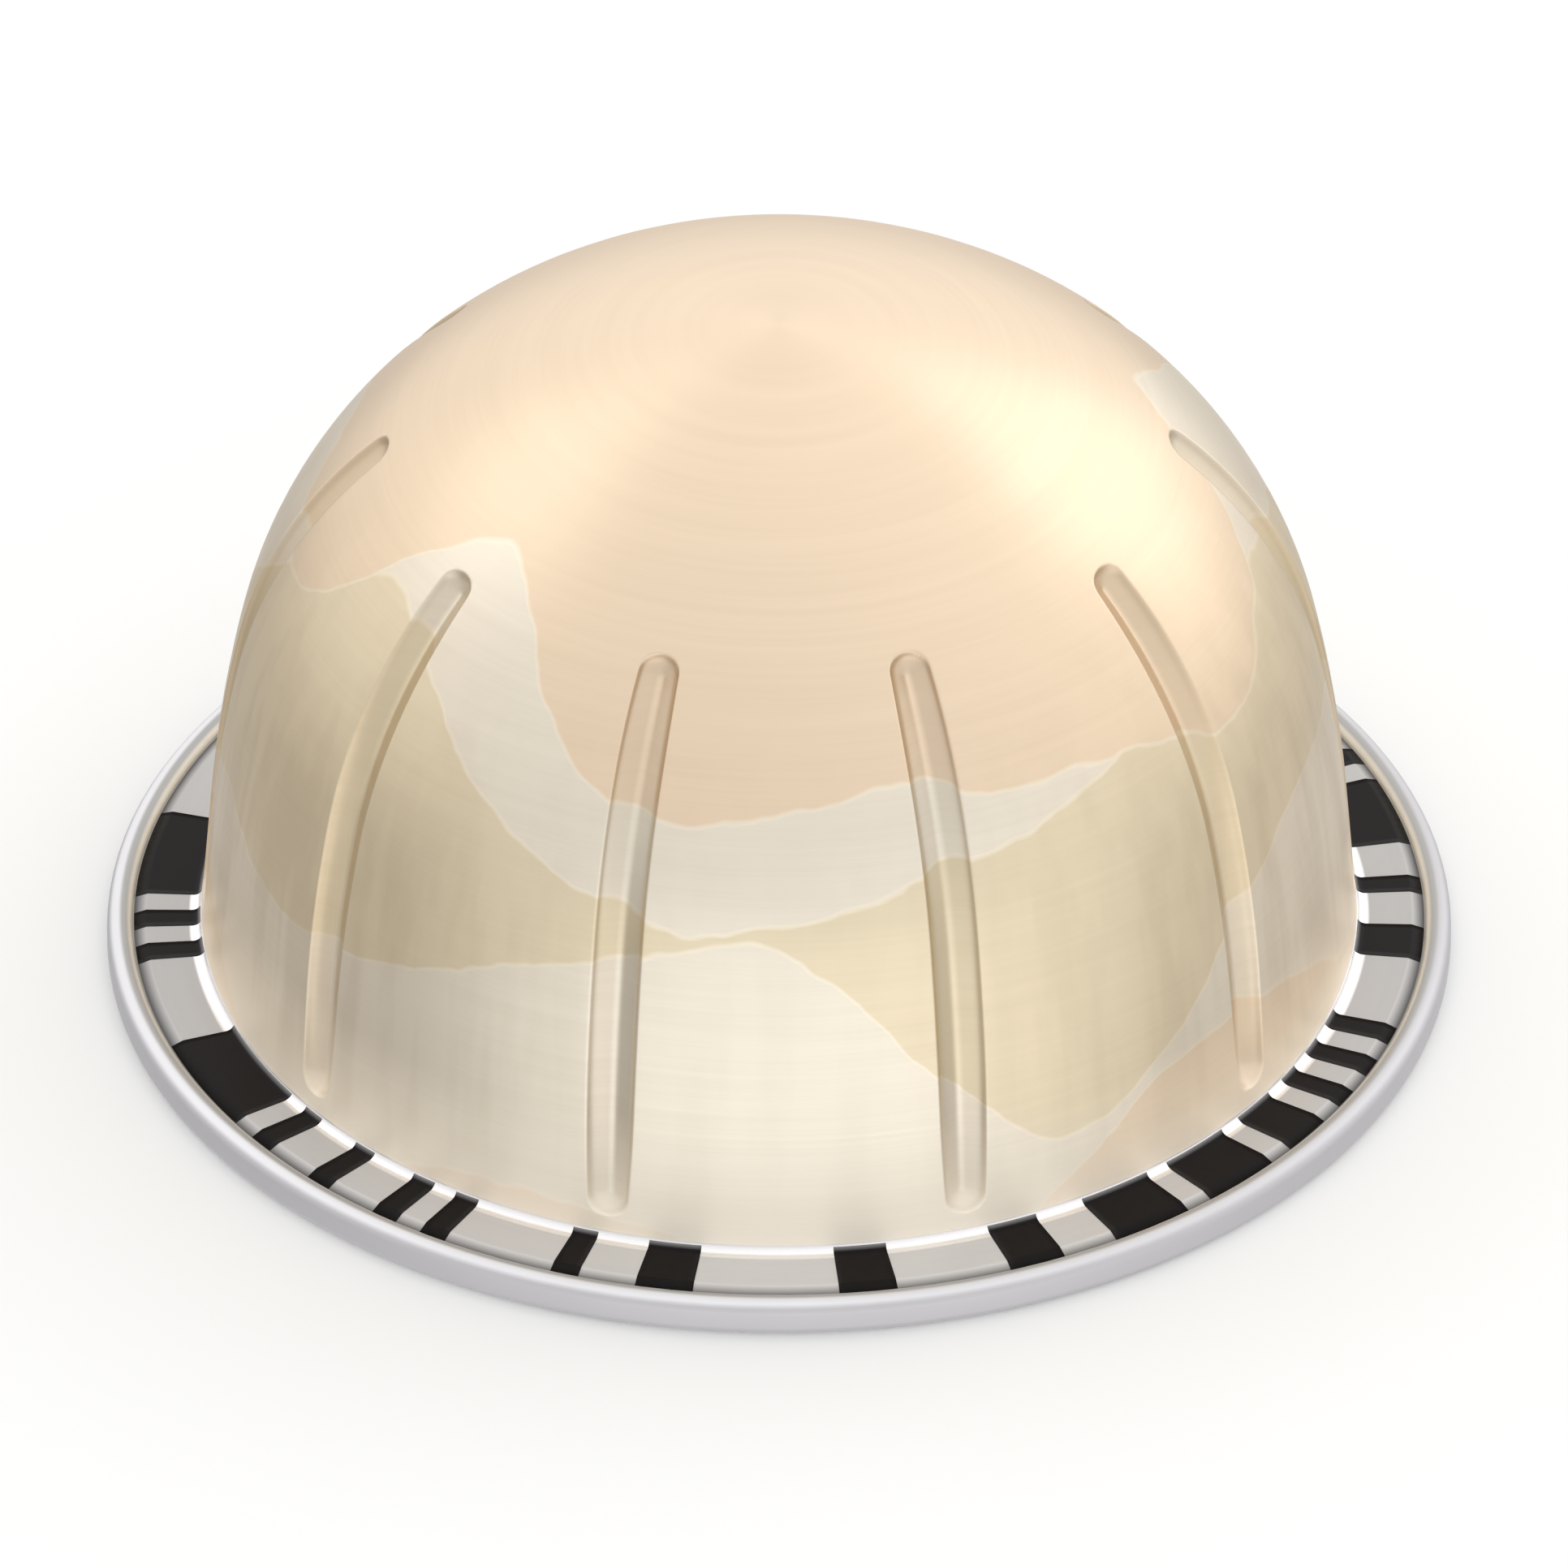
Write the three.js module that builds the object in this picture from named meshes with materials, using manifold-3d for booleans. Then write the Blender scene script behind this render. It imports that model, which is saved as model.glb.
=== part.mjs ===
// Sealed aluminium coffee pod: a domed shell with ten pressed grooves, a flange that carries a
// ring of printed bars, a rolled rim and a foil lid. It stands on the rim with the dome up.
// Millimetres, +Z up. The origin is the centre of the ring that the rim stands on.

import * as THREE from 'three';
import { mergeVertices } from 'three/addons/utils/BufferGeometryUtils.js';
import Module from 'manifold-3d';

// Rolled rim and flange
const rimDiameter = 60;
const rimWidth = 1.2;          // the roll, from side to side
const rimRise = 0.15;          // its crest above the flange face
const rimDrop = 1.55;          // its foot below the flange face
const rimLand = 0.3;           // flat ring on the foot, which the pod stands on
const sheetThickness = 0.2;
const curlSlit = 0.25;         // from the rolled-in edge up to the flange
const chamferWidth = 0.6;      // slope between the flange face and the roll
const chamferDrop = 0.22;
const flangeFlat = 2.02;       // flat ring between the dome's fillet and the slope

// Dome, as heights above the flange face
const domeHeight = 32;
const wallDraft = 4.5;         // degrees
const bellyRadius = 61.5;
const bellyEnd = 12.5;         // degrees that the surface leans in where the shoulder begins
const shoulderRadius = 20.7;
const shoulderEnd = 55.7;      // degrees that it leans in where the crown begins
const baseFillet = 0.45;

// Pressed grooves
const grooveCount = 10;
const grooveWidth = 1.95;
const grooveDepth = 0.68;
const grooveFoot = 2.1;        // from the flange face to the centre of the lower end
const grooveCrownGap = 20.1;   // from the crown's centre to the centre of the upper end

// Foil lid, heat-sealed under the flange
const lidThickness = 0.12;
const lidClearance = 0.25;     // between the lid's edge and the slope under the flange
const sealWidth = 1.9;
const membraneSag = 0.15;      // the free foil below the seal
const sagWidth = 0.6;

// Printed ring: cell n is inked where n is a square modulo the prime number of cells
const barCells = 139;
const barThickness = 0.06;
const barMargin = 0.06;        // bare metal beside the ink, at the fillet and at the roll

// Facets of the round shapes
const turnSteps = 60;          // around the axis, a multiple of the grooves
const bellySteps = 2;
const shoulderSteps = 8;
const crownSteps = 5;
const filletSteps = 3;
const rollSteps = 6;           // the roll's outside, over its top
const boreSteps = 4;
const footSteps = 3;           // each quarter round at the foot, outside
const boreFootSteps = 2;
const toolSides = 6;           // the groove tool, halfway round
const toolSteps = 11;          // along a groove

const mergeDistance = 1e-5;    // corners closer than this are one

const wasm = await Module();
wasm.setup();

const quarter = Math.PI / 2;
const degrees = (angle) => angle * Math.PI / 180;
const point = (x, y) => new THREE.Vector2(x, y);

// Sizes that follow from the ones above
const rimRadius = rimDiameter / 2;
const rollMiddle = rimRadius - rimWidth / 2;
const rollRadius = rimWidth / 2;
const rollBore = rollRadius - sheetThickness;
const rollTop = rimDrop + rimRise - rollRadius;
const footRadius = (rimWidth - rimLand) / 2;
const rootHeight = rimDrop - chamferDrop;
const rootAngle = Math.PI - Math.asin((rootHeight - rollTop) / rollRadius);
const rootRadius = rollMiddle + rollRadius * Math.cos(rootAngle);
const chamferStart = rootRadius - chamferWidth;
const chamferSlope = chamferDrop / chamferWidth;
const flangeUnderside = rimDrop - sheetThickness;
const draft = degrees(wallDraft);
const filletMiddle = chamferStart - flangeFlat;
const domeBase = filletMiddle - baseFillet * (1 - Math.sin(draft)) / Math.cos(draft);

// Points of an arc, from one angle to the other, in radians
function arc(x, y, radius, from, to, steps) {
  const points = [];
  for (let step = 0; step <= steps; step++) {
    const angle = from + (to - from) * step / steps;
    points.push(point(x + radius * Math.cos(angle), y + radius * Math.sin(angle)));
  }
  return points;
}

// Dome outline: drafted wall, belly, shoulder and a crown centred on the axis, all tangent.
// The wall's length and the crown's radius close it on the base's radius and the height.
function domeSections() {
  const bellyLean = degrees(bellyEnd);
  const shoulderLean = degrees(shoulderEnd);
  const reachIn = shoulderRadius * (Math.cos(bellyLean) - Math.cos(shoulderLean))
    + bellyRadius * (Math.cos(draft) - Math.cos(bellyLean));
  const reachUp = shoulderRadius * (Math.sin(shoulderLean) - Math.sin(bellyLean))
    + bellyRadius * (Math.sin(bellyLean) - Math.sin(draft));
  const across = domeBase - reachIn;
  const up = domeHeight - reachUp;
  const crownCosine = Math.cos(shoulderLean);
  const crownRise = 1 - Math.sin(shoulderLean);
  const divisor = crownCosine * Math.cos(draft) - crownRise * Math.sin(draft);
  const crownRadius = (across * Math.cos(draft) - up * Math.sin(draft)) / divisor;
  const wallLength = (up * crownCosine - across * crownRise) / divisor;

  const base = point(domeBase, rimDrop);
  const wallTop = point(base.x - wallLength * Math.sin(draft), base.y + wallLength * Math.cos(draft));
  const belly = point(wallTop.x - bellyRadius * Math.cos(draft), wallTop.y - bellyRadius * Math.sin(draft));
  const shift = bellyRadius - shoulderRadius;
  const shoulder = point(belly.x + shift * Math.cos(bellyLean), belly.y + shift * Math.sin(bellyLean));
  const crown = point(0, rimDrop + domeHeight - crownRadius);
  return [
    { centre: belly, radius: bellyRadius, from: draft, to: bellyLean, steps: bellySteps },
    { centre: shoulder, radius: shoulderRadius, from: bellyLean, to: shoulderLean, steps: shoulderSteps },
    { centre: crown, radius: crownRadius, from: shoulderLean, to: quarter, steps: crownSteps },
  ];
}

function domeProfile() {
  return domeSections().flatMap(({ centre, radius, from, to, steps }) =>
    arc(centre.x, centre.y, radius, from, to, steps));
}

// Fillet between the drafted wall and the flange face, from the face up
function baseFilletProfile() {
  return arc(filletMiddle, rimDrop + baseFillet, baseFillet, -quarter, draft - Math.PI, filletSteps);
}

// Height of the sheet's underside below the slope, out to the roll
function slopeUnderside(radius) {
  const lean = Math.atan(chamferSlope);
  return rimDrop - chamferSlope * (radius - chamferStart) - sheetThickness / Math.cos(lean);
}

// The sheet rolled outwards, down and in again, from the underside of the flange to its face
function rolledRimProfile() {
  const boreWall = rollMiddle - rollBore;
  const edge = slopeUnderside(boreWall) - curlSlit;
  const boreFoot = footRadius - sheetThickness;
  const inner = rollMiddle - rimLand / 2;
  const outer = rollMiddle + rimLand / 2;
  const slopeThickness = sheetThickness / Math.cos(Math.atan(chamferSlope));
  const underSlope = chamferStart - (slopeThickness - sheetThickness) / chamferSlope;
  return [
    point(underSlope, flangeUnderside),
    point(boreWall, slopeUnderside(boreWall)),
    ...arc(rollMiddle, rollTop, rollBore, Math.PI, 0, boreSteps),
    ...arc(outer, footRadius, boreFoot, 0, -quarter, boreFootSteps),
    ...arc(inner, footRadius, boreFoot, -quarter, -2 * quarter, boreFootSteps),
    point(boreWall, edge),
    point(rollMiddle - rollRadius, edge),
    ...arc(inner, footRadius, footRadius, 2 * quarter, 3 * quarter, footSteps),
    ...arc(outer, footRadius, footRadius, 3 * quarter, 4 * quarter, footSteps),
    ...arc(rollMiddle, rollTop, rollRadius, 0, rootAngle, rollSteps),
    point(chamferStart, rimDrop),
  ];
}

// Turns a profile in (radius, height) around the Z axis
function turned(profile) {
  return new THREE.LatheGeometry(profile, turnSteps).rotateX(quarter);
}

// Closed solid of a geometry, with its corners merged and its empty triangles left out
function solidOf(geometry) {
  const plain = geometry.clone();
  plain.deleteAttribute('normal');
  plain.deleteAttribute('uv');
  const merged = mergeVertices(plain, mergeDistance);
  const corners = merged.index.array;
  const triVerts = [];
  for (let at = 0; at < corners.length; at += 3) {
    const [a, b, c] = corners.subarray(at, at + 3);
    if (a !== b && b !== c && c !== a) triVerts.push(a, b, c);
  }
  return new wasm.Manifold(new wasm.Mesh({
    numProp: 3,
    vertProperties: merged.attributes.position.array,
    triVerts: new Uint32Array(triVerts),
  }));
}

function geometryOf(solid) {
  const { vertProperties, triVerts } = solid.getMesh();
  const geometry = new THREE.BufferGeometry();
  geometry.setAttribute('position', new THREE.BufferAttribute(vertProperties, 3));
  geometry.setIndex(new THREE.BufferAttribute(triVerts, 1));
  return geometry;
}

// Centre line of a groove: the dome's outline, set out so that the round tool cuts to depth
const toolRadius = (grooveWidth ** 2 / 4 + grooveDepth ** 2) / (2 * grooveDepth);

class GrooveLine extends THREE.Curve {
  constructor() {
    super();
    const offset = toolRadius - grooveDepth;
    const outward = point(Math.cos(draft), Math.sin(draft));
    const sections = domeSections();
    const belly = sections[0];
    const foot = point(domeBase, rimDrop).addScaledVector(outward, offset);
    const wallTop = belly.centre.clone().addScaledVector(outward, belly.radius + offset);
    this.outline = new THREE.Path();
    this.outline.moveTo(foot.x, foot.y);
    this.outline.lineTo(wallTop.x, wallTop.y);
    for (const { centre, radius, from, to } of sections) {
      this.outline.absarc(centre.x, centre.y, radius + offset, from, to, false);
    }
    const length = this.outline.getLength();
    this.start = grooveFoot / length;
    this.end = 1 - grooveCrownGap / length;
  }

  getPoint(share) {
    const place = this.outline.getPointAt(this.start + (this.end - this.start) * share);
    return new THREE.Vector3(place.x, 0, place.y);
  }
}

// Round bar along the centre line, with a ball at each end
function grooveTool() {
  const line = new GrooveLine();
  const section = new THREE.Shape().absarc(0, 0, toolRadius, 0, 4 * quarter, false);
  let tool = solidOf(new THREE.ExtrudeGeometry(section, {
    extrudePath: line, steps: toolSteps, curveSegments: toolSides,
  }));
  for (const end of [line.getPoint(0), line.getPoint(1)]) {
    const ball = new THREE.SphereGeometry(toolRadius, 2 * toolSides, toolSides);
    tool = tool.add(solidOf(ball.translate(end.x, end.y, end.z)));
  }
  return tool;
}

// The pressed sheet and what it holds as one solid; -Y lies between two grooves
function capsuleBody() {
  const profile = [
    point(0, flangeUnderside),
    ...rolledRimProfile(),
    ...baseFilletProfile(),
    ...domeProfile(),
  ];
  const tool = grooveTool();
  let body = solidOf(turned(profile));
  for (let copy = 0; copy < grooveCount; copy++) {
    body = body.subtract(tool.rotate([0, 0, 360 * (copy + 0.5) / grooveCount - 90]));
  }
  return geometryOf(body);
}

// Disc sealed under the flange, its free middle a little lower than the sealed ring
function foilLid() {
  const edge = chamferStart - lidClearance;
  const seal = edge - sealWidth;
  const free = seal - sagWidth;
  return turned([
    point(0, flangeUnderside - membraneSag - lidThickness),
    point(free, flangeUnderside - membraneSag - lidThickness),
    point(seal, flangeUnderside - lidThickness),
    point(edge, flangeUnderside - lidThickness),
    point(edge, flangeUnderside),
    point(seal, flangeUnderside),
    point(free, flangeUnderside - membraneSag),
    point(0, flangeUnderside - membraneSag),
  ]);
}

// Ink film over the flange face and the slope, as a whole ring
function inkRing() {
  const inner = filletMiddle + barMargin;
  const outer = rootRadius - barMargin;
  const outerFace = rimDrop - chamferSlope * (outer - chamferStart);
  return solidOf(turned([
    point(inner, rimDrop),
    point(chamferStart, rimDrop),
    point(outer, outerFace),
    point(outer, outerFace + barThickness),
    point(chamferStart, rimDrop + barThickness),
    point(inner, rimDrop + barThickness),
    point(inner, rimDrop),
  ]));
}

// Runs of inked cells around the ring, each as its first cell and its number of cells
function inkedRuns() {
  const squares = new Set();
  for (let root = 1; root < barCells; root++) squares.add(root * root % barCells);
  const runs = [];
  for (let cell = 0; cell < barCells; cell++) {
    if (!squares.has(cell)) continue;
    if (squares.has(cell - 1)) runs.at(-1).cells += 1;
    else runs.push({ first: cell, cells: 1 });
  }
  return runs;
}

// One run of the ring, cut out by a wedge that reaches past the rim
function codeBar(ring, { first, cells }) {
  const reach = rimDiameter;
  const cell = 4 * quarter / barCells;
  const from = cell * first;
  const to = cell * (first + cells);
  const wedge = new THREE.Shape([
    point(0, 0),
    point(reach * Math.cos(from), reach * Math.sin(from)),
    point(reach * Math.cos(to), reach * Math.sin(to)),
  ]);
  const slice = new THREE.ExtrudeGeometry(wedge, { depth: 2 * rimDrop, bevelEnabled: false });
  return geometryOf(ring.intersect(solidOf(slice)));
}

const lacqueredAluminium = new THREE.MeshStandardMaterial({
  color: 0xd8c8a4, metalness: 0.85, roughness: 0.38,
});
const lidFoil = new THREE.MeshStandardMaterial({ color: 0xc9c8c5, metalness: 0.9, roughness: 0.45 });
const blackInk = new THREE.MeshStandardMaterial({ color: 0x262221, metalness: 0, roughness: 0.55 });

function named(name, geometry, material) {
  const mesh = new THREE.Mesh(geometry, material);
  mesh.name = name;
  return mesh;
}

const pod = new THREE.Group();
pod.name = 'coffee_pod';
pod.add(named('capsule_body', capsuleBody(), lacqueredAluminium));
pod.add(named('foil_lid', foilLid(), lidFoil));
const ring = inkRing();
inkedRuns().forEach((run, index) => {
  const number = String(index + 1).padStart(2, '0');
  pod.add(named(`code_bar_${number}`, codeBar(ring, run), blackInk));
});

export default pod;
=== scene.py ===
# Sealed coffee pod: champagne dome with pressed grooves, bare flange with a printed ring,
# rolled rim and foil lid. Metres, +Z up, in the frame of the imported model.
import math
import bpy
import numpy as np
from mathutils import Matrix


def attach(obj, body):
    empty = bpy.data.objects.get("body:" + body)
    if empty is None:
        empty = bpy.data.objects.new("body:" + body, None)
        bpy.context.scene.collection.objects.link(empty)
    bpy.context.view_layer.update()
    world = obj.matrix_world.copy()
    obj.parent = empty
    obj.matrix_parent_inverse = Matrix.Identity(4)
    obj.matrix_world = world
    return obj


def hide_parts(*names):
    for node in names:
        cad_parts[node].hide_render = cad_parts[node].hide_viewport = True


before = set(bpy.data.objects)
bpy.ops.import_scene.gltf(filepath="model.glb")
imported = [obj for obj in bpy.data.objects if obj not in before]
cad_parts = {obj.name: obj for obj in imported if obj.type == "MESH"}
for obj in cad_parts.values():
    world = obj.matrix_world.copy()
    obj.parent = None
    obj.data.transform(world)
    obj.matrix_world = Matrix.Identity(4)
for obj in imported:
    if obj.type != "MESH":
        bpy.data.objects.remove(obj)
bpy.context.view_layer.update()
mm = 0.001

# the shell's section, shared by everything that sits on it
shell = {
    "rimRadius": 30.0 * mm,
    "rollRadius": 0.6 * mm,
    "rimRise": 0.15 * mm,      # crest of the roll above the flange face
    "faceHeight": 1.55 * mm,   # flange face above the foot
    "footLand": 0.3 * mm,
    "sheet": 0.2 * mm,
    "curlSlit": 0.25 * mm,
    "slopeWidth": 0.6 * mm,
    "slopeDrop": 0.22 * mm,
    "flangeFlat": 2.02 * mm,
    "domeHeight": 32.0 * mm,   # above the flange face
    "draft": math.radians(4.5),
    "bellyRadius": 61.5 * mm,
    "bellyEnd": math.radians(12.5),
    "shoulderRadius": 20.7 * mm,
    "shoulderEnd": math.radians(55.7),
    "fillet": 0.45 * mm,
    "axisGap": 0.02 * mm,      # radius of the first ring, under the flange
    "poleGap": 0.03 * mm,      # along the dome, from its last ring to its middle
}

# how many stretches each arc is cut into
arcSteps = {"bore": 10, "boreFoot": 5, "foot": 8, "roll": 18, "fillet": 10, "inkClimb": 6}

# how the section's sharp corners are broken
softening = {
    "reach": 0.03 * mm,
    "sharp": math.radians(19), # a corner that turns less than this stays as it is
    "most": 0.4,               # of the shorter side
    "steps": 3,
}


def pointsOfArc(x, y, radius, start, end, steps):
    # middle plus radius times cosine and sine, as rows of (distance from the axis, height)
    angle = np.linspace(start, end, steps + 1)
    return np.column_stack([x + radius * np.cos(angle), y + radius * np.sin(angle)])


def softened(points):
    # each sharp corner becomes a parabola from a point before it to one after it:
    # (1 - t) squared times the first, 2 t (1 - t) times the corner, t squared times the last
    t = np.linspace(0, 1, softening["steps"] + 1)[:, None]
    rows = [points[:1]]
    for before, corner, after in zip(points[:-2], points[1:-1], points[2:]):
        toBefore, toAfter = before - corner, after - corner
        turn = math.atan2(*toAfter) - math.atan2(*-toBefore)
        if abs((turn + math.pi) % (2 * math.pi) - math.pi) < softening["sharp"]:
            rows.append(corner[None, :])
            continue
        lengthBefore, lengthAfter = np.linalg.norm(toBefore), np.linalg.norm(toAfter)
        reach = min(softening["reach"], softening["most"] * lengthBefore, softening["most"] * lengthAfter)
        first = corner + toBefore / lengthBefore * reach
        last = corner + toAfter / lengthAfter * reach
        rows.append((1 - t) ** 2 * first + 2 * t * (1 - t) * corner + t ** 2 * last)
    return np.vstack(rows + [points[-1:]])


# places that several pieces share
rollMiddle = shell["rimRadius"] - shell["rollRadius"]
rollTop = shell["faceHeight"] + shell["rimRise"] - shell["rollRadius"]
rootHeight = shell["faceHeight"] - shell["slopeDrop"]
rootAngle = math.pi - math.asin((rootHeight - rollTop) / shell["rollRadius"])
rootRadius = rollMiddle + shell["rollRadius"] * math.cos(rootAngle)
slopeStart = rootRadius - shell["slopeWidth"]
slopeFall = shell["slopeDrop"] / shell["slopeWidth"]
filletMiddle = slopeStart - shell["flangeFlat"]
domeBase = filletMiddle - shell["fillet"] * (1 - math.sin(shell["draft"])) / math.cos(shell["draft"])


def domeArcs():
    # wall line, belly, shoulder and crown, each tangent to the next; the wall's length and the
    # crown's radius follow from the dome's radius at its base and its height on the axis
    draft, belly, shoulder = shell["draft"], shell["bellyEnd"], shell["shoulderEnd"]
    across = (domeBase - shell["shoulderRadius"] * (math.cos(belly) - math.cos(shoulder))
              - shell["bellyRadius"] * (math.cos(draft) - math.cos(belly)))
    up = (shell["domeHeight"] - shell["shoulderRadius"] * (math.sin(shoulder) - math.sin(belly))
          - shell["bellyRadius"] * (math.sin(belly) - math.sin(draft)))
    crownRise = 1 - math.sin(shoulder)
    divisor = math.cos(shoulder) * math.cos(draft) - crownRise * math.sin(draft)
    crownRadius = (across * math.cos(draft) - up * math.sin(draft)) / divisor
    wallLength = (up * math.cos(shoulder) - across * crownRise) / divisor
    wallTop = (domeBase - wallLength * math.sin(draft),
               shell["faceHeight"] + wallLength * math.cos(draft))
    bellyMiddle = (wallTop[0] - shell["bellyRadius"] * math.cos(draft),
                   wallTop[1] - shell["bellyRadius"] * math.sin(draft))
    shift = shell["bellyRadius"] - shell["shoulderRadius"]
    shoulderMiddle = (bellyMiddle[0] + shift * math.cos(belly), bellyMiddle[1] + shift * math.sin(belly))
    crownMiddle = (0.0, shell["faceHeight"] + shell["domeHeight"] - crownRadius)
    return wallLength, [
        (bellyMiddle, shell["bellyRadius"], draft, belly),
        (shoulderMiddle, shell["shoulderRadius"], belly, shoulder),
        (crownMiddle, crownRadius, shoulder, math.pi / 2),
    ]


def domeAt(along):
    # radius, height and outward lean of the dome at each distance along it from the flange face:
    # on the wall a straight line, on an arc its middle plus its radius times cosine and sine of
    # the lean, which grows by distance over radius
    wallLength, arcs = domeArcs()
    draft = shell["draft"]
    radius = domeBase - along * math.sin(draft)
    height = shell["faceHeight"] + along * math.cos(draft)
    lean = np.full_like(along, draft)
    passed = wallLength
    for (middleX, middleY), arcRadius, start, end in arcs:
        inside = along > passed
        angle = np.minimum(start + (along - passed) / arcRadius, end)
        radius = np.where(inside, middleX + arcRadius * np.cos(angle), radius)
        height = np.where(inside, middleY + arcRadius * np.sin(angle), height)
        lean = np.where(inside, angle, lean)
        passed += arcRadius * (end - start)
    return radius, height, lean


def domeLength():
    wallLength, arcs = domeArcs()
    return wallLength + sum(radius * (end - start) for _, radius, start, end in arcs)


def spread(first, *stretches):
    # distances from the first on, each stretch given as (end, step) with its own fineness
    rows = [np.array([first])]
    here = first
    for end, step in stretches:
        count = max(1, math.ceil((end - here) / step))
        rows.append(np.linspace(here, end, count + 1)[1:])
        here = end
    return np.concatenate(rows)


def ramp(value, start, width):
    # 0 up to the start, 1 from the start plus the width on
    return np.clip((value - start) / width, 0, 1)


def turned(radius, angle, height):
    # x is radius times cosine, y is radius times sine, z is height, as rows of three
    points = np.broadcast_arrays(radius * np.cos(angle), radius * np.sin(angle), height)
    return np.stack(points, -1).reshape(-1, 3)


def gridFaces(rows, columns, offset=0):
    # quads between neighbouring rows of a closed ring of columns, outward for rows that run
    # from the axis underneath, out and up to the axis on top
    row, column = np.meshgrid(np.arange(rows - 1), np.arange(columns), indexing="ij")
    here = offset + row * columns + column
    beside = offset + row * columns + (column + 1) % columns
    return np.stack([here, beside, beside + columns, here + columns], -1).reshape(-1, 4).tolist()


def closedFaces(rows, columns):
    # the grid's quads, then a fan to the pole underneath and one to the pole on top, which are
    # the two vertices after the grid's own
    column = np.arange(columns)
    following = (column + 1) % columns
    last = (rows - 1) * columns
    under = np.stack([np.full(columns, rows * columns), following, column], -1)
    over = np.stack([last + column, last + following, np.full(columns, rows * columns + 1)], -1)
    return gridFaces(rows, columns) + under.tolist() + over.tolist()


def addMesh(name, vertices, faces, materials, materialIndex=None):
    mesh = bpy.data.meshes.new(name)
    mesh.from_pydata(vertices.tolist(), [], faces)
    for material in materials:
        mesh.materials.append(material)
    if materialIndex is not None:
        mesh.polygons.foreach_set("material_index", materialIndex)
    mesh.polygons.foreach_set("use_smooth", np.ones(len(mesh.polygons), bool))
    mesh.update()
    piece = bpy.data.objects.new(name, mesh)
    bpy.context.scene.collection.objects.link(piece)
    return piece


class Value:
    # one socket of a node tree, with the arithmetic that the materials and the world use

    def __init__(self, tree, socket):
        self.tree = tree
        self.socket = socket

    def combine(self, operation, first, second):
        node = self.tree.nodes.new("ShaderNodeMath")
        node.operation = operation
        for slot, item in zip(node.inputs, (first, second)):
            if isinstance(item, Value):
                self.tree.links.new(item.socket, slot)
            elif item is not None:
                slot.default_value = item
        return Value(self.tree, node.outputs[0])

    def __add__(self, other):
        return self.combine("ADD", self, other)

    __radd__ = __add__

    def __sub__(self, other):
        return self.combine("SUBTRACT", self, other)

    def __rsub__(self, other):
        return self.combine("SUBTRACT", other, self)

    def __mul__(self, other):
        return self.combine("MULTIPLY", self, other)

    __rmul__ = __mul__

    def __truediv__(self, other):
        return self.combine("DIVIDE", self, other)

    def alone(self, operation):
        return self.combine(operation, self, None)

    def limited(self):
        return self.combine("MINIMUM", self, 1.0)

    def above(self, edge, softness):
        # 0 below the edge and 1 above it, over a ramp round the edge that is as wide as the softness
        share = (self - edge) / softness + 0.5
        return share.combine("MAXIMUM", share, 0.0).limited()

    def below(self, edge, softness):
        return 1 - self.above(edge, softness)

    def distance(self, other):
        return (self - other).alone("ABSOLUTE")


class NodeTree:
    # a node tree and the only way its nodes are made

    def __init__(self, tree):
        self.tree = tree

    def fill(self, slot, value):
        if isinstance(value, Value):
            self.tree.links.new(value.socket, slot)
        else:
            slot.default_value = value

    def node(self, kind, settings=None, output=0, **inputs):
        # the node's kind, its settings, which output is wanted, and values or links by socket name
        made = self.tree.nodes.new(kind)
        for key, value in (settings or {}).items():
            setattr(made, key, value)
        for socket, value in inputs.items():
            self.fill(made.inputs[socket.replace("_", " ")], value)
        return Value(self.tree, made.outputs[output])

    def parts(self, vector):
        # x, y and z of a vector
        split = self.node("ShaderNodeSeparateXYZ", Vector=vector).socket.node
        return [Value(self.tree, socket) for socket in split.outputs]

    def place(self):
        return self.parts(self.node("ShaderNodeTexCoord", output="Object"))

    def noise(self, x, y, z, detail=0.0, roughness=0.5):
        vector = self.node("ShaderNodeCombineXYZ", X=x, Y=y, Z=z)
        return self.node("ShaderNodeTexNoise", Vector=vector, Scale=1.0, Detail=detail, Roughness=roughness)

    def blend(self, share, first, second):
        # colours through a Mix node; share runs from first to second
        result = self.node("ShaderNodeMix", {"data_type": "RGBA"}, output=2)
        for slot, value in zip((0, 6, 7), (share, first, second)):
            self.fill(result.socket.node.inputs[slot], value)
        return result

    def relief(self, height, strength, depth):
        return self.node("ShaderNodeBump", Height=height, Strength=strength, Distance=depth)


class Finish(NodeTree):
    # one material, with what is the same all over it set on the shader itself

    def __init__(self, name, **constants):
        self.material = bpy.data.materials.new(name)
        self.material.use_nodes = True
        super().__init__(self.material.node_tree)
        self.shader = self.tree.nodes["Principled BSDF"]
        self.feed(**constants)

    def feed(self, **sockets):
        for socket, value in sockets.items():
            self.fill(self.shader.inputs[socket.replace("_", " ")], value)


def fromAxis(x, y):
    # root of x squared plus y squared
    return (x * x + y * y).alone("SQRT")


def colour(red, green, blue):
    # screen colour from 0 to 255 to the linear one that shaders use
    linear = [((c / 255 + 0.055) / 1.055) ** 2.4 if c > 10 else c / 255 / 12.92 for c in (red, green, blue)]
    return (*linear, 1.0)


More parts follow.
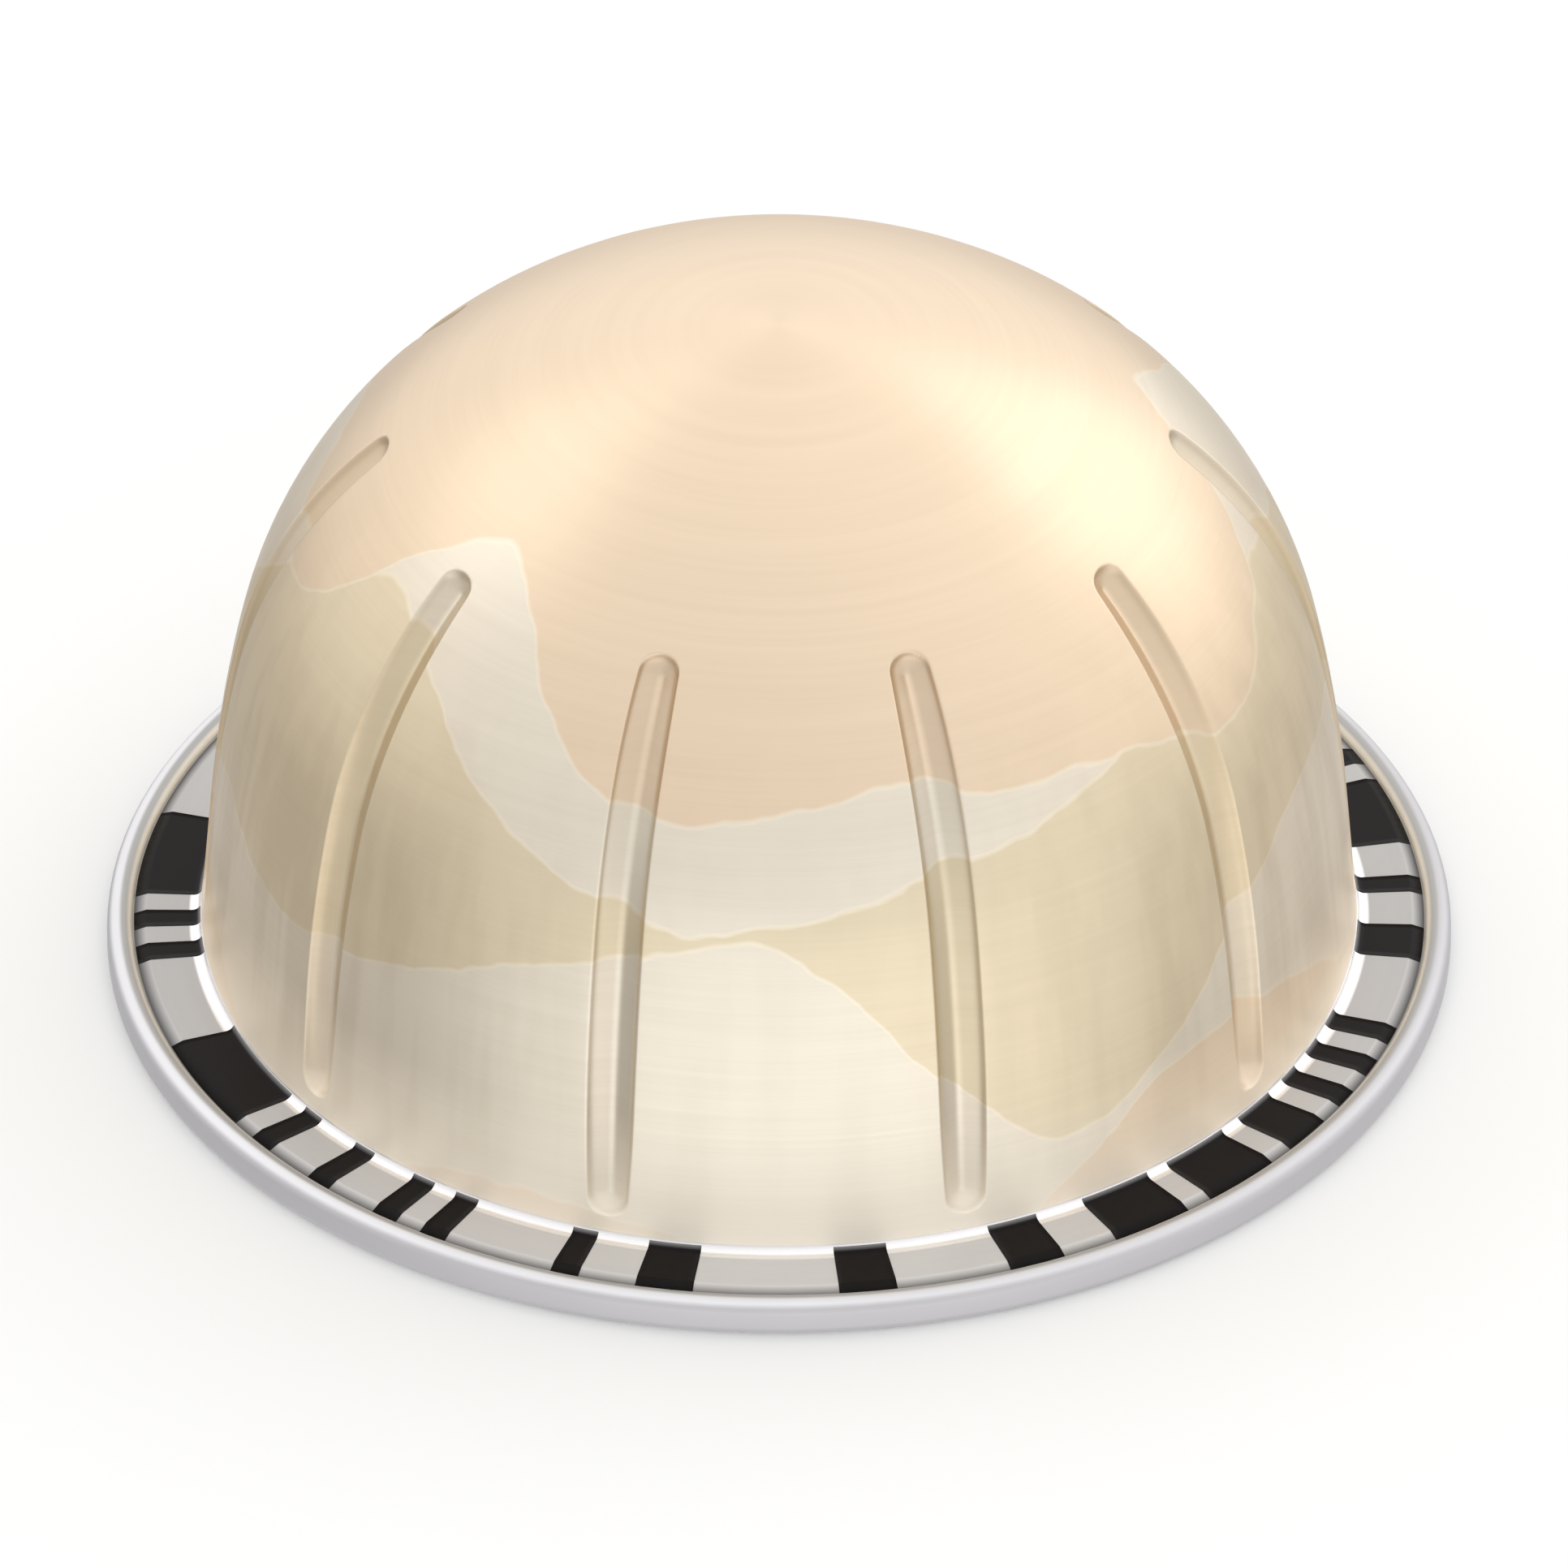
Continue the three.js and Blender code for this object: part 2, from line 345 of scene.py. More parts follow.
champagne = {
    "rose": colour(231, 209, 182),
    "cream": colour(224, 210, 181),
    "pearl": colour(231, 222, 206),
    "edge": colour(244, 234, 214),     # the pale line between two tones
    "edgeWidth": 0.20 * mm,
    "edgeShare": 0.5,
    "toneSoftness": 0.10 * mm,
    "ragged": 2.6 * mm,                # how far the tones' edges stray from their waves
    "raggedScale": 150.0,
    "brushMarkAndShade": colour(150, 134, 108),   # darker tone for the brush lines and bands, and painted shade for the streaks and the grooves' flanks
    "brushScale": 45.0,                # round the axis
    "brushLines": 5200.0,              # per metre of height
    "brushRamp": (0.5, 0.9),           # middle and width, as for every ramp and top below
    "brushShare": 0.10,
    "bandScale": 90.0,
    "bandsPerLine": 0.22,
    "bandRamp": (0.5, 0.6),
    "bandShare": 0.05,
    "streakScale": 480.0,
    "streakLines": 30.0,
    "streakRamp": (0.50, 0.18),
    "streakTop": (22 * mm, 12 * mm),   # height where the streaks end
    "streakFront": 0.2,                # how strong they are in front, and how much more at the sides
    "streakSides": 1.5,
    "paintedStreakShare": 0.16,
    "grooveShadeShare": 0.55,
    "foot": colour(254, 246, 231),     # painted light on the wall's lowest part, where the flange and the print shade it
    "footTop": (4.5 * mm, 6 * mm),
    "footPaintedLightShare": 0.40,
    "seamTop": (3.0 * mm, 2.4 * mm),   # just above the flange
    "seamPaintedLightShare": 0.35,
    # painted shade, warm, towards both sides of the wall
    "sideShade": colour(226, 197, 155),
    "sideShadeShare": 0.38,
    "wallRadius": 26 * mm,
    "roughness": 0.36,
    "footRougher": 0.20,
    "brushRougher": 0.10,
    "metallic": 0.8,
    "footDuller": 0.50,
    "relief": (0.12, 0.004 * mm),      # strength and depth
    "anisotropy": 0.6,
    "anisotropyTurn": 0.25,
    "coat": 0.25,
    "coatRoughness": 0.3,
}

# each tone's edge is a wave round the dome: height, then (swings, reach, turn) for each sine
toneEdges = {
    "rose": (23.5 * mm, (2, 2.6 * mm, 0.4), (5, 2.2 * mm, 1.1), (7, 0.9 * mm, 0.2)),
    "lens": (20.5 * mm, (3, 4.2 * mm, 2.9), (4, 2.0 * mm, 0.6)),
    "pearl": (12.0 * mm, (3, 3.4 * mm, 1.2), (5, 2.6 * mm, 3.6), (8, 0.8 * mm, 0.9)),
    "foot": (3.2 * mm, (2, 2.4 * mm, 2.2), (5, 2.4 * mm, 5.2)),
}


def lacquerTones(finish, x, y, z):
    # from the top down: rose, a lens of pearl where its edge runs lower, cream, pearl, rose again
    look = champagne
    turn = y.combine("ARCTAN2", y, x)
    scale = look["raggedScale"]
    stray = (finish.noise(x * scale, y * scale, z * scale, detail=3.0, roughness=0.55) - 0.5) * look["ragged"]
    above, line = {}, {}
    for name, (level, *sines) in toneEdges.items():
        wave = z - stray - level
        for swings, reach, start in sines:
            wave = wave - (turn * swings + start).alone("SINE") * reach
        above[name] = wave.above(0, look["toneSoftness"])
        line[name] = wave.distance(0).below(look["edgeWidth"] / 2, look["edgeWidth"] / 2)
    tone = finish.blend(above["pearl"], look["pearl"], look["cream"])
    outline = line["pearl"]
    tone = finish.blend(above["lens"], tone, look["pearl"])
    outline = outline * (1 - above["lens"]) + line["lens"]
    tone = finish.blend(above["rose"], tone, look["rose"])
    outline = outline * (1 - above["rose"]) + line["rose"]
    tone = finish.blend(above["foot"], look["rose"], tone)
    outline = outline * above["foot"] + line["foot"]
    return finish.blend(outline.limited() * look["edgeShare"], tone, look["edge"])


def lacqueredFinish():
    look = champagne
    finish = Finish("champagne lacquer", Anisotropic=look["anisotropy"],
                    Anisotropic_Rotation=look["anisotropyTurn"],
                    Coat_Weight=look["coat"], Coat_Roughness=look["coatRoughness"])
    x, y, z = finish.place()
    tone = lacquerTones(finish, x, y, z)
    # fine lines round the axis from the brushing, and wider ones between them
    scale = look["brushScale"]
    lines = look["brushLines"]
    brush = finish.noise(x * scale, y * scale, z * lines, detail=2.0, roughness=0.65)
    scale = look["bandScale"]
    bands = finish.noise(x * scale, y * scale, z * lines * look["bandsPerLine"], detail=1.0)
    # painted reflection: soft darker upright streaks, standing for the streaky reflections of brushed metal,
    # on the wall alone and most of all at its sides, where they also paint shade
    scale = look["streakScale"]
    streak = finish.noise(x * scale, y * scale, z * look["streakLines"], detail=2.5, roughness=0.6)
    side = (x.alone("ABSOLUTE") / look["wallRadius"]).limited()
    paintedStreaks = streak.above(*look["streakRamp"]) * z.below(*look["streakTop"])
    paintedStreaks = paintedStreaks * (side * side * look["streakSides"] + look["streakFront"])
    marks = brush.above(*look["brushRamp"]) * look["brushShare"]
    marks = marks + bands.above(*look["bandRamp"]) * look["bandShare"] + paintedStreaks * look["paintedStreakShare"]
    shade = finish.blend(marks, tone, look["brushMarkAndShade"])
    # painted shade: the grooves' flanks and edges are darkened, as they fall in shade
    paintedGrooveShade = finish.node("ShaderNodeAttribute", {"attribute_name": "flank"}, output="Fac")
    shade = finish.blend(paintedGrooveShade * look["grooveShadeShare"], shade, look["brushMarkAndShade"])
    # rougher and more opaque near the flange, where the lacquer is thickest, and lighter there by painted
    # light against the shade of the flange and the print
    low = z.below(*look["footTop"])
    lowest = z.below(*look["seamTop"])
    shade = finish.blend(low * look["footPaintedLightShare"] + lowest * look["seamPaintedLightShare"], shade, look["foot"])
    # painted shade: the lacquer is a little darker and more golden to both sides of the wall
    shade = finish.blend(side * side * look["sideShadeShare"], shade, look["sideShade"])
    roughness = look["roughness"] + low * look["footRougher"]
    finish.feed(Base_Color=shade, Metallic=look["metallic"] - low * look["footDuller"],
                Roughness=roughness + (brush - 0.5) * look["brushRougher"],
                Normal=finish.relief(brush, *look["relief"]))
    return finish.material


bareMetal = {
    # painted highlight: the fillet near white, and a little of the flat beside it
    "fillet": colour(252, 250, 250),
    "flange": colour(211, 209, 207),
    "flangeSideShade": colour(174, 172, 171),
    "flangeSideShadeShare": 0.85,
    # painted shade where the slope falls to the roll, darker still to both sides
    "slope": colour(112, 110, 110),
    "slopeSideShade": colour(58, 56, 57),
    "root": colour(236, 231, 220),     # painted reflection of the lacquer, a light line where the roll rises from the slope
    "dip": colour(172, 171, 170),      # painted shade on the roll's inner side
    # painted highlight along the roll's crest
    "crest": colour(228, 227, 230),
    "crestRightShadeShare": 0.9,
    # the roll's outer side, greyer as painted shade
    "roll": colour(192, 190, 193),
    "dirt": colour(150, 148, 146),
    "dirtShare": 0.16,                 # how much it darkens the rest
    "dirtOfTurn": 0.6,                 # of that, what follows the turning marks and what is cloudy
    "dirtOfCloud": 0.4,
    "turnScale": 60.0,
    "turnLines": 3000.0,
    "cloudScale": 240.0,
    "metallic": 0.92,
    "faceDuller": 0.62,
    "rollDuller": 0.52,
    "roughness": 0.27,
    "faceRougher": 0.16,
    "rollRougher": 0.16,
    "turnRougher": 0.10,
    "relief": (0.10, 0.004 * mm),      # strength and depth
}

# middle and width of the ramp with which each tone sets in, by distance from the axis; from the slope out
# they are painted shade and highlights
metalRings = {
    "face": (filletMiddle + 0.09 * mm, 0.12 * mm),
    "slope": (slopeStart + 0.28 * mm, 0.46 * mm),
    "root": (rootRadius, 0.10 * mm),
    "dip": (rollMiddle - 0.32 * mm, 0.14 * mm),
    "crest": (rollMiddle + 0.02 * mm, 0.16 * mm),
    "roll": (rollMiddle + 0.44 * mm, 0.14 * mm),
}


def bareFinish():
    look = bareMetal
    finish = Finish("bare aluminium")
    x, y, z = finish.place()
    radial = fromAxis(x, y)
    scale = look["turnScale"]
    turn = finish.noise(x * scale, y * scale, radial * look["turnLines"], detail=2.0, roughness=0.6)
    scale = look["cloudScale"]
    cloud = finish.noise(x * scale, y * scale, z * scale, detail=2.0)
    beyond = {name: radial.above(*ring) for name, ring in metalRings.items()}
    # a painted highlight on the fillet, satin on the face, and painted highlights and shade on the roll
    face = beyond["face"] * (1 - beyond["root"])
    # painted shade: turned metal's reflection falls off to both sides, so the flange and the slope are
    # darkened there, and the crest is toned down on the right, where it mirrors the lamp
    side = (x * x) / (radial * radial)
    tones = {
        "slope": finish.blend(side, look["slope"], look["slopeSideShade"]),
        "root": look["root"],
        "dip": look["dip"],
        "crest": finish.blend(x / radial * look["crestRightShadeShare"], look["crest"], look["roll"]),
        "roll": look["roll"],
    }
    flange = finish.blend(side * look["flangeSideShadeShare"], look["flange"], look["flangeSideShade"])
    tone = finish.blend(face, look["fillet"], flange)
    for name, ringTone in tones.items():
        tone = finish.blend(beyond[name], tone, ringTone)
    dirt = turn * look["dirtOfTurn"] + cloud * look["dirtOfCloud"]
    tone = finish.blend(dirt * look["dirtShare"], tone, look["dirt"])
    roughness = look["roughness"] + face * look["faceRougher"] + beyond["root"] * look["rollRougher"]
    finish.feed(Base_Color=tone, Normal=finish.relief(turn, *look["relief"]),
                Metallic=look["metallic"] - face * look["faceDuller"] - beyond["root"] * look["rollDuller"],
                Roughness=roughness + (turn - 0.5) * look["turnRougher"])
    return finish.material


ink = {
    "black": colour(20, 17, 17),
    "worn": colour(40, 36, 35),
    "wornShare": 0.35,
    "filletGrey": colour(150, 147, 147),
    "filletGreyShare": 0.7,
    "filletGreyAbove": (shell["faceHeight"] + 0.16 * mm, 0.14 * mm),     # middle and width of a ramp
    "filletGreyInside": (filletMiddle, 0.1 * mm),
    "grainScale": 2600.0,
    "roughness": 0.40,
    "grainRougher": 0.15,
    "specular": 0.08,
}


def inkFinish():
    # black ink, greyer where it climbs the fillet
    finish = Finish("black print", Metallic=0.0, Specular_IOR_Level=ink["specular"])
    x, y, z = finish.place()
    scale = ink["grainScale"]
    grain = finish.noise(x * scale, y * scale, z * scale, detail=3.0)
    filletGrey = z.above(*ink["filletGreyAbove"]) * fromAxis(x, y).below(*ink["filletGreyInside"])
    base = finish.blend(grain * ink["wornShare"], ink["black"], ink["worn"])
    finish.feed(Base_Color=finish.blend(filletGrey * ink["filletGreyShare"], base, ink["filletGrey"]),
                Roughness=ink["roughness"] + grain * ink["grainRougher"])
    return finish.material


foil = {
    "light": colour(206, 205, 202),
    "dark": colour(186, 185, 183),
    "cloudScale": 130.0,
    "fineScale": 1500.0,
    "roughness": 0.30,
    "cloudRougher": 0.12,
    "relief": (0.15, 0.01 * mm),       # strength and depth
}


def foilFinish():
    finish = Finish("lid foil", Metallic=1.0)
    x, y, z = finish.place()
    scale = foil["cloudScale"]
    cloud = finish.noise(x * scale, y * scale, z * scale, detail=3.0)
    scale = foil["fineScale"]
    fine = finish.noise(x * scale, y * scale, z * scale, detail=2.0)
    finish.feed(Base_Color=finish.blend(cloud, foil["light"], foil["dark"]),
                Roughness=foil["roughness"] + cloud * foil["cloudRougher"],
                Normal=finish.relief(fine, *foil["relief"]))
    return finish.material


def rimSection():
    # the sheet from the axis under the flange, out, round the roll and back over the face:
    # straight lines from arc to arc
    sheet, roll, face = shell["sheet"], shell["rollRadius"], shell["faceHeight"]
    bore = roll - sheet
    foot = (2 * roll - shell["footLand"]) / 2
    slopeSheet = sheet / math.cos(math.atan(slopeFall))        # the sheet's height on the slope
    boreWall = rollMiddle - bore
    cornerHeight = face - slopeFall * (boreWall - slopeStart) - slopeSheet
    edge = cornerHeight - shell["curlSlit"]
    inner, outer = rollMiddle - shell["footLand"] / 2, rollMiddle + shell["footLand"] / 2
    underSlope = slopeStart - (slopeSheet - sheet) / slopeFall
    quarter = math.pi / 2
    return softened(np.vstack([
        [[shell["axisGap"], face - sheet], [underSlope, face - sheet], [boreWall, cornerHeight]],
        pointsOfArc(rollMiddle, rollTop, bore, math.pi, 0, arcSteps["bore"]),
        pointsOfArc(outer, foot, foot - sheet, 0, -quarter, arcSteps["boreFoot"]),
        pointsOfArc(inner, foot, foot - sheet, -quarter, -math.pi, arcSteps["boreFoot"]),
        [[boreWall, edge], [rollMiddle - roll, edge]],
        pointsOfArc(inner, foot, foot, math.pi, 3 * quarter, arcSteps["foot"]),
        pointsOfArc(outer, foot, foot, 3 * quarter, 4 * quarter, arcSteps["foot"]),
        pointsOfArc(rollMiddle, rollTop, roll, 0, rootAngle, arcSteps["roll"]),
        [[slopeStart, face], [filletMiddle, face]],
    ]))


grooves = {
    "count": 10,
    "width": 1.88 * mm,
    "swell": 0.34 * mm,        # how much wider it is over its middle stretch
    "depth": 0.68 * mm,
    "lip": 0.05 * mm,          # how far the pressed edge is rounded
    "bottom": 0.14 * mm,       # half width of the rounded bottom between the flanks
    "edgeShare": 0.34,         # share of the depth that the steep edges take
    "edgePower": 10,           # how late the steep edges set in
    "edgeLeast": -2,           # where their curve is cut off outside the groove
    "farthest": 2.5,           # in half widths; the wall is untouched from there on
    "foot": 2.1 * mm,          # along the wall, from the flange face to the lower end's centre
    "crownGap": 19.7 * mm,     # along the dome, from its middle to the upper end's centre
    # painted shade that darkens its flanks and edges, by share of the half width: start, ramp and strength
    "flankShade": (0.06, 0.18, 0.44),
    "edgeShade": (0.76, 0.12, 0.18),
    "shadeEnd": (0.95, 0.08),
    # columns beside a groove's middle in half widths, then those on the land
    "columns": (0, .07, .14, .24, .38, .54, .68, .78, .86, .92, .97, 1.02, 1.07, 1.14, 1.25, 1.42),
    "landColumns": 6,
    "steadyRadius": 16 * mm,   # nearer to the axis the columns keep their angles
}

# distance between the rings along the dome, and where a groove's end has finer ones, in half widths
domeRings = {
    "wall": 0.2 * mm,
    "end": 0.06 * mm,
    "nearEnd": 0.14 * mm,
    "middle": 0.75 * mm,
    "crown": 0.9 * mm,
    "outerReach": 1.35,
    "tipReach": 0.6,
    "innerReach": 0.2,
}


def grooveEnds():
    return grooves["foot"], domeLength() - grooves["crownGap"]


def grooveHalf(along):
    # half of width plus swell times (1 less the fourth power of the way from the middle to an end)
    low, high = grooveEnds()
    way = 2 * ramp(along, low, high - low) - 1
    return (grooves["width"] + grooves["swell"] * (1 - way ** 4)) / 2


def columnAngles(radius, half):
    # angles round the axis for a ring at each radius: beside a groove a share of its half width
    # over the radius, then evenly to the middle of the land, and the same mirrored
    pitch = 2 * math.pi / grooves["count"]
    steady = np.maximum(radius, grooves["steadyRadius"])[:, None]
    near = half[:, None] * np.array(grooves["columns"])[None, :] / steady
    share = np.linspace(0, 1, grooves["landColumns"] + 1)[None, 1:]
    land = near[:, -1:] + (pitch / 2 - near[:, -1:]) * share
    right = np.hstack([near, land[:, :-1]])
    left = -np.hstack([near[:, 1:], land])[:, ::-1]
    one = np.hstack([left, right])
    middles = (np.arange(grooves["count"]) + 0.5) * pitch - math.pi / 2
    return (middles[None, :, None] + one[:, None, :]).reshape(len(radius), -1)


def grooveDepth(along, radius, angle):
    # by the distance to the nearest groove's middle line: flanks that rise straight from a
    # rounded bottom, mixed with a power curve that makes their edges steep; the level and the
    # root of its square plus the lip's square, halved, round off where the groove ends.
    # The second result is the mask of painted shade on flanks and edges
    pitch = 2 * math.pi / grooves["count"]
    away = (angle + math.pi / 2) % pitch - pitch / 2
    low, high = grooveEnds()
    beyond = np.maximum(np.maximum(low - along, along - high), 0)[:, None]
    distance = np.hypot(radius[:, None] * away, beyond)
    half = grooveHalf(along)[:, None]
    share = distance / half
    bottom, lip = grooves["bottom"], grooves["lip"]
    flank = 1 - (np.hypot(distance, bottom) - bottom) / (np.hypot(half, bottom) - bottom)
    edge = np.maximum(1 - share ** grooves["edgePower"], grooves["edgeLeast"])
    level = grooves["depth"] * (flank + (edge - flank) * grooves["edgeShare"])
    depth = (level + np.sqrt(level ** 2 + lip ** 2)) / 2 * (share < grooves["farthest"])
    shade = sum(ramp(share, start, width) * strength
                for start, width, strength in (grooves["flankShade"], grooves["edgeShade"]))
    return depth, shade * (1 - ramp(share, *grooves["shadeEnd"]))


def makeShell(lacquer, bare):
    # one closed skin of rings round the axis, from under the flange to the dome's middle: the
    # section's radius and height, less the groove's depth times cosine and sine of the lean
    fillet = pointsOfArc(filletMiddle, shell["faceHeight"] + shell["fillet"], shell["fillet"],
                         -math.pi / 2, shell["draft"] - math.pi, arcSteps["fillet"])
    section = np.vstack([rimSection(), fillet[1:-1]])
    plain = len(section)
    low, high = grooveEnds()
    reach = grooves["width"] / 2
    outer, tip, inner = (domeRings[name] * reach for name in ("outerReach", "tipReach", "innerReach"))
    along = spread((fillet[-1, 1] - shell["faceHeight"]) / math.cos(shell["draft"]),
                   (low - outer, domeRings["wall"]), (low - tip, domeRings["end"]),
                   (low + inner, domeRings["nearEnd"]), (high - inner, domeRings["middle"]),
                   (high + tip, domeRings["nearEnd"]), (high + outer, domeRings["end"]),
                   (domeLength() - shell["poleGap"], domeRings["crown"]))
    domeRadius, domeHeight, domeLean = domeAt(along)
    radius = np.concatenate([section[:, 0], domeRadius])
    height = np.concatenate([section[:, 1], domeHeight])[:, None]
    lean = np.concatenate([np.zeros(plain), domeLean])[:, None]
    angle = columnAngles(radius, grooveHalf(np.concatenate([np.zeros(plain), along])))
    depth, flank = np.zeros_like(angle), np.zeros_like(angle)
    depth[plain:], flank[plain:] = grooveDepth(along, domeRadius, angle[plain:])
    rows, columns = angle.shape
    ring = turned(radius[:, None] - depth * np.cos(lean), angle, height - depth * np.sin(lean))
    poles = [[0, 0, shell["faceHeight"] - shell["sheet"]], [0, 0, shell["faceHeight"] + shell["domeHeight"]]]
    lacquered = np.repeat(np.arange(rows - 1) >= plain - 1, columns).astype(int)
    slots = np.concatenate([lacquered, np.zeros(columns, int), np.ones(columns, int)])
    skin = np.vstack([ring, poles])
    piece = addMesh("shell_skin", skin, closedFaces(rows, columns), [bare, lacquer], slots)
    # the painted shade of the grooves' flanks and edges, kept for the lacquer
    paintedGrooveShade = piece.data.attributes.new("flank", "FLOAT", "POINT")
    paintedGrooveShade.data.foreach_set("value", np.concatenate([flank.ravel(), np.zeros(len(poles))]))
    print("shell:", rows, "rings of", columns)
    return piece


printRing = {
    "cells": 139,
    "film": 0.025 * mm,
    "climb": math.radians(62), # how far the ink runs up the fillet
    "margin": 0.06 * mm,       # bare metal between the ink and the roll
    "stepsOfCell": 4,
}


def inkedRuns():
    # cell n is inked where n is a square modulo the number of cells; neighbours make one bar,
    # given as its first cell and its number of cells
    cells = printRing["cells"]
    squares = sorted({root * root % cells for root in range(1, cells)})
    return [(run[0], len(run)) for run in np.split(squares, np.flatnonzero(np.diff(squares) > 1) + 1)]


def makePrint(material):
    # each bar is a thin film along the fillet, the flat face and the slope: the path less and
    # plus the film along its normal, turned round the axis from the bar's first cell to its last
    climb = pointsOfArc(filletMiddle, shell["faceHeight"] + shell["fillet"], shell["fillet"],
                        -math.pi / 2 - printRing["climb"], -math.pi / 2, arcSteps["inkClimb"])
    low = rootRadius - printRing["margin"]
    path = softened(np.vstack([climb, [[slopeStart, shell["faceHeight"]],
                                       [low, shell["faceHeight"] - slopeFall * (low - slopeStart)]]]))
    across = np.gradient(path, axis=0)
    normal = np.column_stack([-across[:, 1], across[:, 0]])
    film = normal / np.linalg.norm(normal, axis=1)[:, None] * printRing["film"]
    section = np.vstack([path - film, (path + film)[::-1]])
    count = len(section)
    vertices, faces, made = [], [], 0
    for first, cells in inkedRuns():
        steps = printRing["stepsOfCell"] * cells + 1
        angle = 2 * math.pi / printRing["cells"] * (first + cells * np.linspace(0, 1, steps))
        vertices.append(turned(section[None, :, 0], angle[:, None], section[None, :, 1]))
        faces += gridFaces(steps, count, made)
        faces.append(list(range(made, made + count)))
        faces.append(list(range(made + (steps - 1) * count, made + steps * count))[::-1])
        made += steps * count
    piece = addMesh("print_ring", np.vstack(vertices), faces, [material])
    piece.visible_glossy = False       # the satin lacquer beside it doesn't mirror the bars
    print("print:", len(vertices), "bars")
    return piece


lid = {
    "radius": 28.0 * mm,
    "sealWidth": 1.9 * mm,
    "sag": 0.15 * mm,
    "sagWidth": 0.6 * mm,
    "thickness": 0.12 * mm,
    "gap": 0.01 * mm,          # between the foil and the flange
    "wrinkle": 0.035 * mm,
    "wrinkleFade": 4 * mm,     # towards the seal
    "wrinkleCalm": 9 * mm,     # round the middle
    "edgeWave": 0.6,           # how strong the third wave is
    # swings round the lid, turn per metre outwards and start of each of the wrinkle's waves
    "waves": ((7, 190, 0), (3, -310, 1.0), (13, 420, 0.7)),
    "knurl": 0.012 * mm,
    "knurlPitch": 0.38 * mm,
    "columns": 180,
    "firstRing": 0.4 * mm,
    "ringSteps": (0.55 * mm, 0.1 * mm, 0.12 * mm),     # on the free foil, the sag and the seal
}


def makeLid(material):
    # two faces of a disc: from the free foil to the seal it rises by half a cosine; the wrinkle is
    # one sine of angle and radius times another, plus a third that grows towards the seal; the
    # seal's fine rings are a sine of the radius
    top = shell["faceHeight"] - shell["sheet"]
    seal = lid["radius"] - lid["sealWidth"]
    free = seal - lid["sagWidth"]
    radius = spread(lid["firstRing"], *zip((free, seal, lid["radius"]), lid["ringSteps"]))
    rings, columns = len(radius), lid["columns"]
    r, a = np.meshgrid(radius, np.linspace(0, 2 * math.pi, columns, endpoint=False), indexing="ij")
    drop = lid["sag"] * 0.5 * (1 + np.cos(math.pi * ramp(r, free, lid["sagWidth"])))
    inside = ramp(free - r, 0, lid["wrinkleFade"]) * ramp(r, 0, lid["wrinkleCalm"]) ** 2
    first, second, third = (np.sin(swings * a + turn * r + start) for swings, turn, start in lid["waves"])
    wave = first * second + lid["edgeWave"] * third * (r / seal) ** 2
    knurl = lid["knurl"] * np.sin(2 * math.pi * (r - seal) / lid["knurlPitch"]) * (r > seal)
    under = top - lid["thickness"] - drop + lid["wrinkle"] * inside * wave + knurl
    over = top - lid["gap"] - drop
    poles = [[0, 0, under[0].mean()], [0, 0, over[0].mean()]]
    vertices = np.vstack([turned(r, a, under), turned(r[::-1], a, over[::-1]), poles])
    print("lid:", rings, "rings of", columns)
    return addMesh("lid_skin", vertices, closedFaces(2 * rings, columns), [material])


stage = {
    "floorSize": 3.0,
    "floorColour": colour(236, 236, 235),
    "floorRoughness": 0.7,
}


def makeFloor():
    half = stage["floorSize"] / 2
    corners = [(-half, -half, 0), (half, -half, 0), (half, half, 0), (-half, half, 0)]
    mesh = bpy.data.meshes.new("floor")
    mesh.from_pydata(corners, [], [(0, 1, 2, 3)])
    floor = bpy.data.objects.new("floor", mesh)
    bpy.context.scene.collection.objects.link(floor)
    finish = Finish("pale floor", Base_Color=stage["floorColour"], Roughness=stage["floorRoughness"])
    mesh.materials.append(finish.material)
    floor.visible_glossy = False       # the metal mirrors the room's lower half instead


# what the metal sees around it: brightness of the room, and of the table below the horizon
room = {
    "overhead": 1.16,
    "horizon": 1.00,
    "behind": 0.17,            # how much brighter it is behind than in front, and on the right
    "beside": 0.11,
    "tableFront": 1.62,
    "tableSides": 0.50,
    "tableUnder": 0.85,        # straight below
    "tableTurn": math.radians(5),
    "leastLevel": 0.0001,      # so that nothing is divided by nought straight up
    # middle and width of each change: to overhead, at the horizon, to straight below, to the front
    "overheadRamp": (0.30, 0.60),
    "horizonRamp": (-0.11, 0.20),
    "underRamp": (-0.62, 0.36),
    "frontRamp": (0.56, 0.76),
}


def makeRoom():
    world = bpy.data.worlds.new("studio")
    world.use_nodes = True
    sky = NodeTree(world.node_tree)
    side, back, up = sky.parts(sky.node("ShaderNodeTexCoord", output="Generated"))
    above = room["horizon"] + up.above(*room["overheadRamp"]) * (room["overhead"] - room["horizon"])
    above = above + back * room["behind"] + side * room["beside"]
    # the table is bright in front and falls off to both sides
    level = (side * side + back * back + room["leastLevel"]).alone("SQRT")
    forward = (side * math.sin(room["tableTurn"]) - back * math.cos(room["tableTurn"])) / level
    front = forward.above(*room["frontRamp"])
    below = room["tableSides"] + side * room["beside"] + front * (room["tableFront"] - room["tableSides"])
    steep = up.below(*room["underRamp"])
    below = below * (1 - steep) + steep * room["tableUnder"]
    share = up.above(*room["horizonRamp"])
    background = world.node_tree.nodes["Background"]
    sky.fill(background.inputs["Strength"], above * share + below * (1 - share))
    sky.fill(background.inputs["Color"], (1, 1, 1, 1))
    bpy.context.scene.world = world
    bpy.context.scene.view_settings.view_transform = "Standard"


